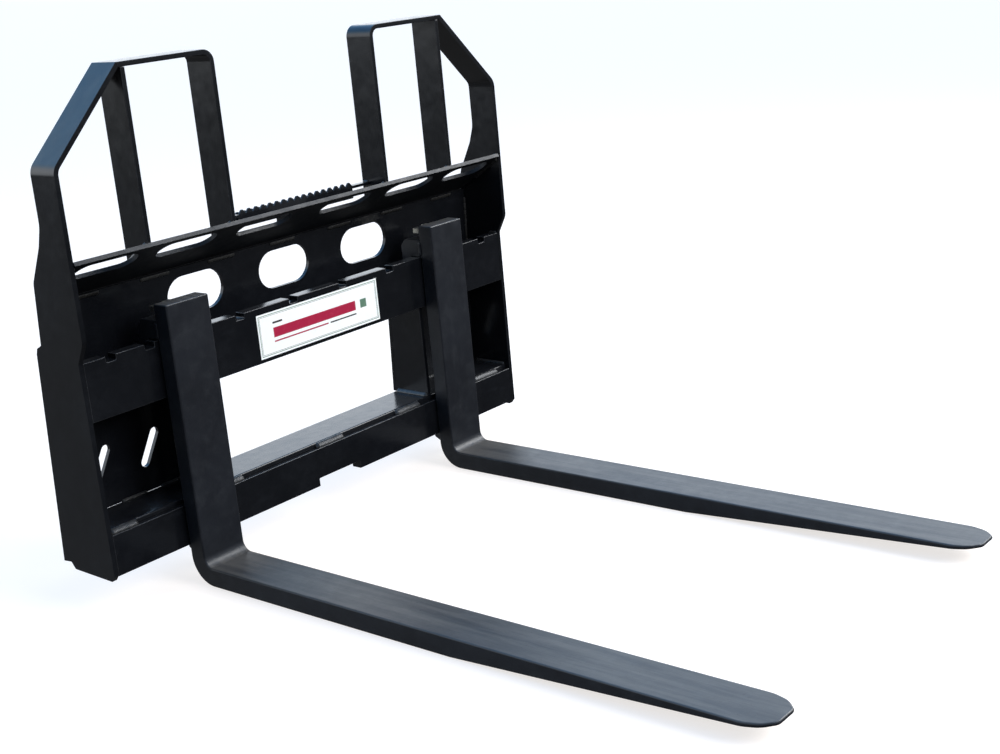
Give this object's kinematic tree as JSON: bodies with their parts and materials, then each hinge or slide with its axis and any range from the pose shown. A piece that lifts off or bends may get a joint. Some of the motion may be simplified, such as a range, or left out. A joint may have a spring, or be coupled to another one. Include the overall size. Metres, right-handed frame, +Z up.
{
  "type": "pallet fork attachment",
  "caption": "Loader pallet fork frame with load guard, coupler hook and two forks that slide on notched bars and lock with cam-lever pins.",
  "frame": {"origin": "on the ground, centred under the whole attachment", "axes": "+Z up, forks point to -Y, loader is on the +Y side, +X is to the right seen from the fork tips looking at the frame with +Y away"},
  "size_m": [1.176, 1.412, 0.99],
  "materials": {
    "black_gloss_paint": "glossy black enamel over fabricated steel plate",
    "fork_paint": "satin charcoal paint on forged forks",
    "pin_steel": "bare turned steel, lightly oiled",
    "zinc_plate": "zinc-plated pressed steel",
    "label_film": "white vinyl label with a printed border and plain bars"
  },
  "bodies": {
    "frame": {"left_side_plate": "black_gloss_paint", "right_side_plate": "black_gloss_paint", "left_guard_hoop": "black_gloss_paint", "right_guard_hoop": "black_gloss_paint", "left_guard_post": "black_gloss_paint", "right_guard_post": "black_gloss_paint", "top_hook_flange": "black_gloss_paint", "upper_back_plate": "black_gloss_paint", "left_back_plate": "black_gloss_paint", "right_back_plate": "black_gloss_paint", "left_rib": "black_gloss_paint", "right_rib": "black_gloss_paint", "lower_lip": "black_gloss_paint", "upper_fork_bar": "black_gloss_paint", "lower_fork_bar": "black_gloss_paint", "serrated_step": "black_gloss_paint", "left_step_gusset": "black_gloss_paint", "right_step_gusset": "black_gloss_paint", "left_step_tab": "black_gloss_paint", "right_step_tab": "black_gloss_paint", "name_label": "label_film"},
    "left_fork": {"left_fork_arm": "fork_paint", "left_top_hook": "fork_paint", "left_bottom_hook": "fork_paint"},
    "left_latch_plunger": {"left_latch_pin": "pin_steel", "left_roll_pin": "pin_steel", "left_latch_spring": "pin_steel"},
    "left_latch_handle": {"left_latch_lever": "zinc_plate"},
    "right_fork": {"right_fork_arm": "fork_paint", "right_top_hook": "fork_paint", "right_bottom_hook": "fork_paint"},
    "right_latch_plunger": {"right_latch_pin": "pin_steel", "right_roll_pin": "pin_steel", "right_latch_spring": "pin_steel"},
    "right_latch_handle": {"right_latch_lever": "zinc_plate"}
  },
  "joints": [
    {"name": "left_fork_slide", "type": "slide", "parent": "frame", "child": "left_fork", "axis": [1, 0, 0], "range_m": [-0.157, 0.292]},
    {"name": "left_latch_drop", "type": "slide", "parent": "left_fork", "child": "left_latch_plunger", "axis": [0, 0, -1], "range_m": [0, 0.012], "deforming": ["left_latch_spring"]},
    {"name": "left_latch_flip", "type": "hinge", "parent": "left_latch_plunger", "child": "left_latch_handle", "pos_m": [-0.362, 0.565, 0.5393], "axis": [0, 1, 0], "range_deg": [0, 180]},
    {"name": "right_fork_slide", "type": "slide", "parent": "frame", "child": "right_fork", "axis": [1, 0, 0], "range_m": [-0.292, 0.157]},
    {"name": "right_latch_drop", "type": "slide", "parent": "right_fork", "child": "right_latch_plunger", "axis": [0, 0, -1], "range_m": [0, 0.012], "deforming": ["right_latch_spring"]},
    {"name": "right_latch_flip", "type": "hinge", "parent": "right_latch_plunger", "child": "right_latch_handle", "pos_m": [0.362, 0.565, 0.5393], "axis": [0, 1, 0], "range_deg": [0, 180]}
  ],
  "couplings": [
    {"joint": "left_latch_flip", "follows": "left_latch_drop", "rad_per_m": 261.79},
    {"joint": "right_latch_flip", "follows": "right_latch_drop", "rad_per_m": 261.79}
  ]
}
